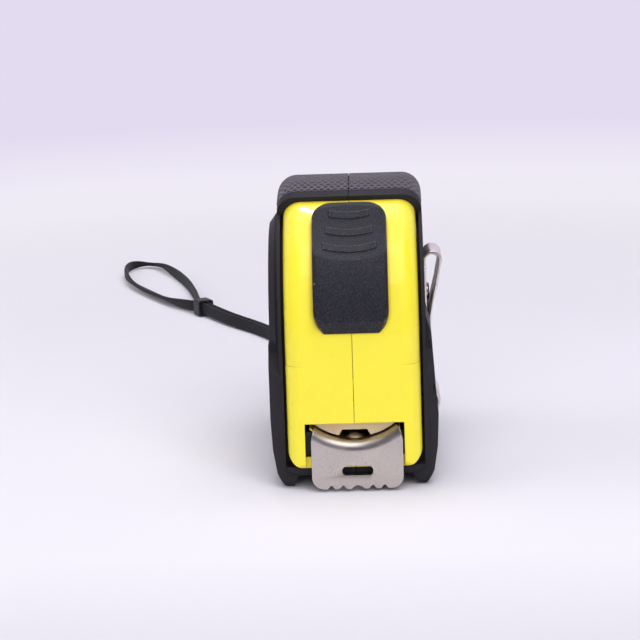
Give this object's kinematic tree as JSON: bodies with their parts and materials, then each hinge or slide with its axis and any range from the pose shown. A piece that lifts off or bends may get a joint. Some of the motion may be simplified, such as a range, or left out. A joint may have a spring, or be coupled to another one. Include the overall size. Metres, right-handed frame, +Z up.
{
  "type": "tape measure",
  "caption": "Pocket tape measure with a rounded two-tone case, thumb lock slider on the front, sprung steel blade with a slotted end hook, belt clip and wrist strap",
  "frame": {"origin": "midway between the two rails that the tool stands on, at ground level, on the seam between the case halves and under the centre of the round of the case", "axes": "+Z up, -Y is the mouth end where the blade comes out, +X is the belt clip's side"},
  "size_m": [0.111, 0.3035, 0.0755],
  "materials": {
    "case_plastic": "glossy moulded",
    "grip_rubber": "matt moulded rubber",
    "button_plastic": "fine grain",
    "bumper": "milky soft",
    "inner_plastic": "moulded",
    "clip_steel": "satin nickel",
    "clip_screw_steel": "nickel",
    "hook_steel": "satin nickel, fine speckle",
    "rivet_steel": "nickel",
    "screw_steel": "black zinc",
    "axle_steel": "plain steel",
    "spring_steel": "blued spring steel",
    "blade": "printed lacquer",
    "blade_coil": "wound lacquered steel",
    "brake_rubber": "hard rubber",
    "lace": "woven",
    "keeper_plastic": "moulded"
  },
  "bodies": {
    "case": {"case_left": "case_plastic", "case_right": "case_plastic", "grip_left": "grip_rubber", "grip_right": "grip_rubber", "case_screws": "screw_steel", "axle_post": "axle_steel", "mouth_bumper": "bumper", "blade_guide": "inner_plastic", "belt_clip": "clip_steel", "clip_screw": "clip_screw_steel", "strap_pin": "axle_steel", "strap_loop": "lace", "wrist_strap": "lace", "strap_keeper": "keeper_plastic"},
    "reel": {"reel_drum": "inner_plastic", "reel_cover": "inner_plastic", "reel_washers": "axle_steel", "power_spring": "spring_steel", "wound_blade": "blade_coil"},
    "blade": {"blade_run": "blade", "blade_end": "blade"},
    "hook": {"end_hook": "hook_steel", "hook_rivets": "rivet_steel"},
    "lock": {"lock_button": "button_plastic", "lock_slide": "inner_plastic", "brake_pad": "brake_rubber", "detent_spring": "spring_steel"}
  },
  "joints": [
    {"name": "blade_pull", "type": "slide", "parent": "case", "child": "blade", "axis": [0, -1, 0], "range_m": [0, 5], "stiffness_N_per_m": 1, "springref_m": -5, "deforming": ["blade_run"]},
    {"name": "hook_float", "type": "slide", "parent": "blade", "child": "hook", "axis": [0, -1, 0], "range_m": [0, 0.001]},
    {"name": "reel_spin", "type": "hinge", "parent": "case", "child": "reel", "pos_m": [0, 0.0025, 0.03848], "axis": [-1, 0, 0], "range_deg": [0, 11020]},
    {"name": "lock_slide_turn", "type": "hinge", "parent": "case", "child": "lock", "pos_m": [0, 0, 0.037], "axis": [1, 0, 0], "range_deg": [0, 12]}
  ],
  "couplings": [
    {"joint": "reel_spin", "follows": "blade_pull", "rad_per_m": 38.46}
  ]
}
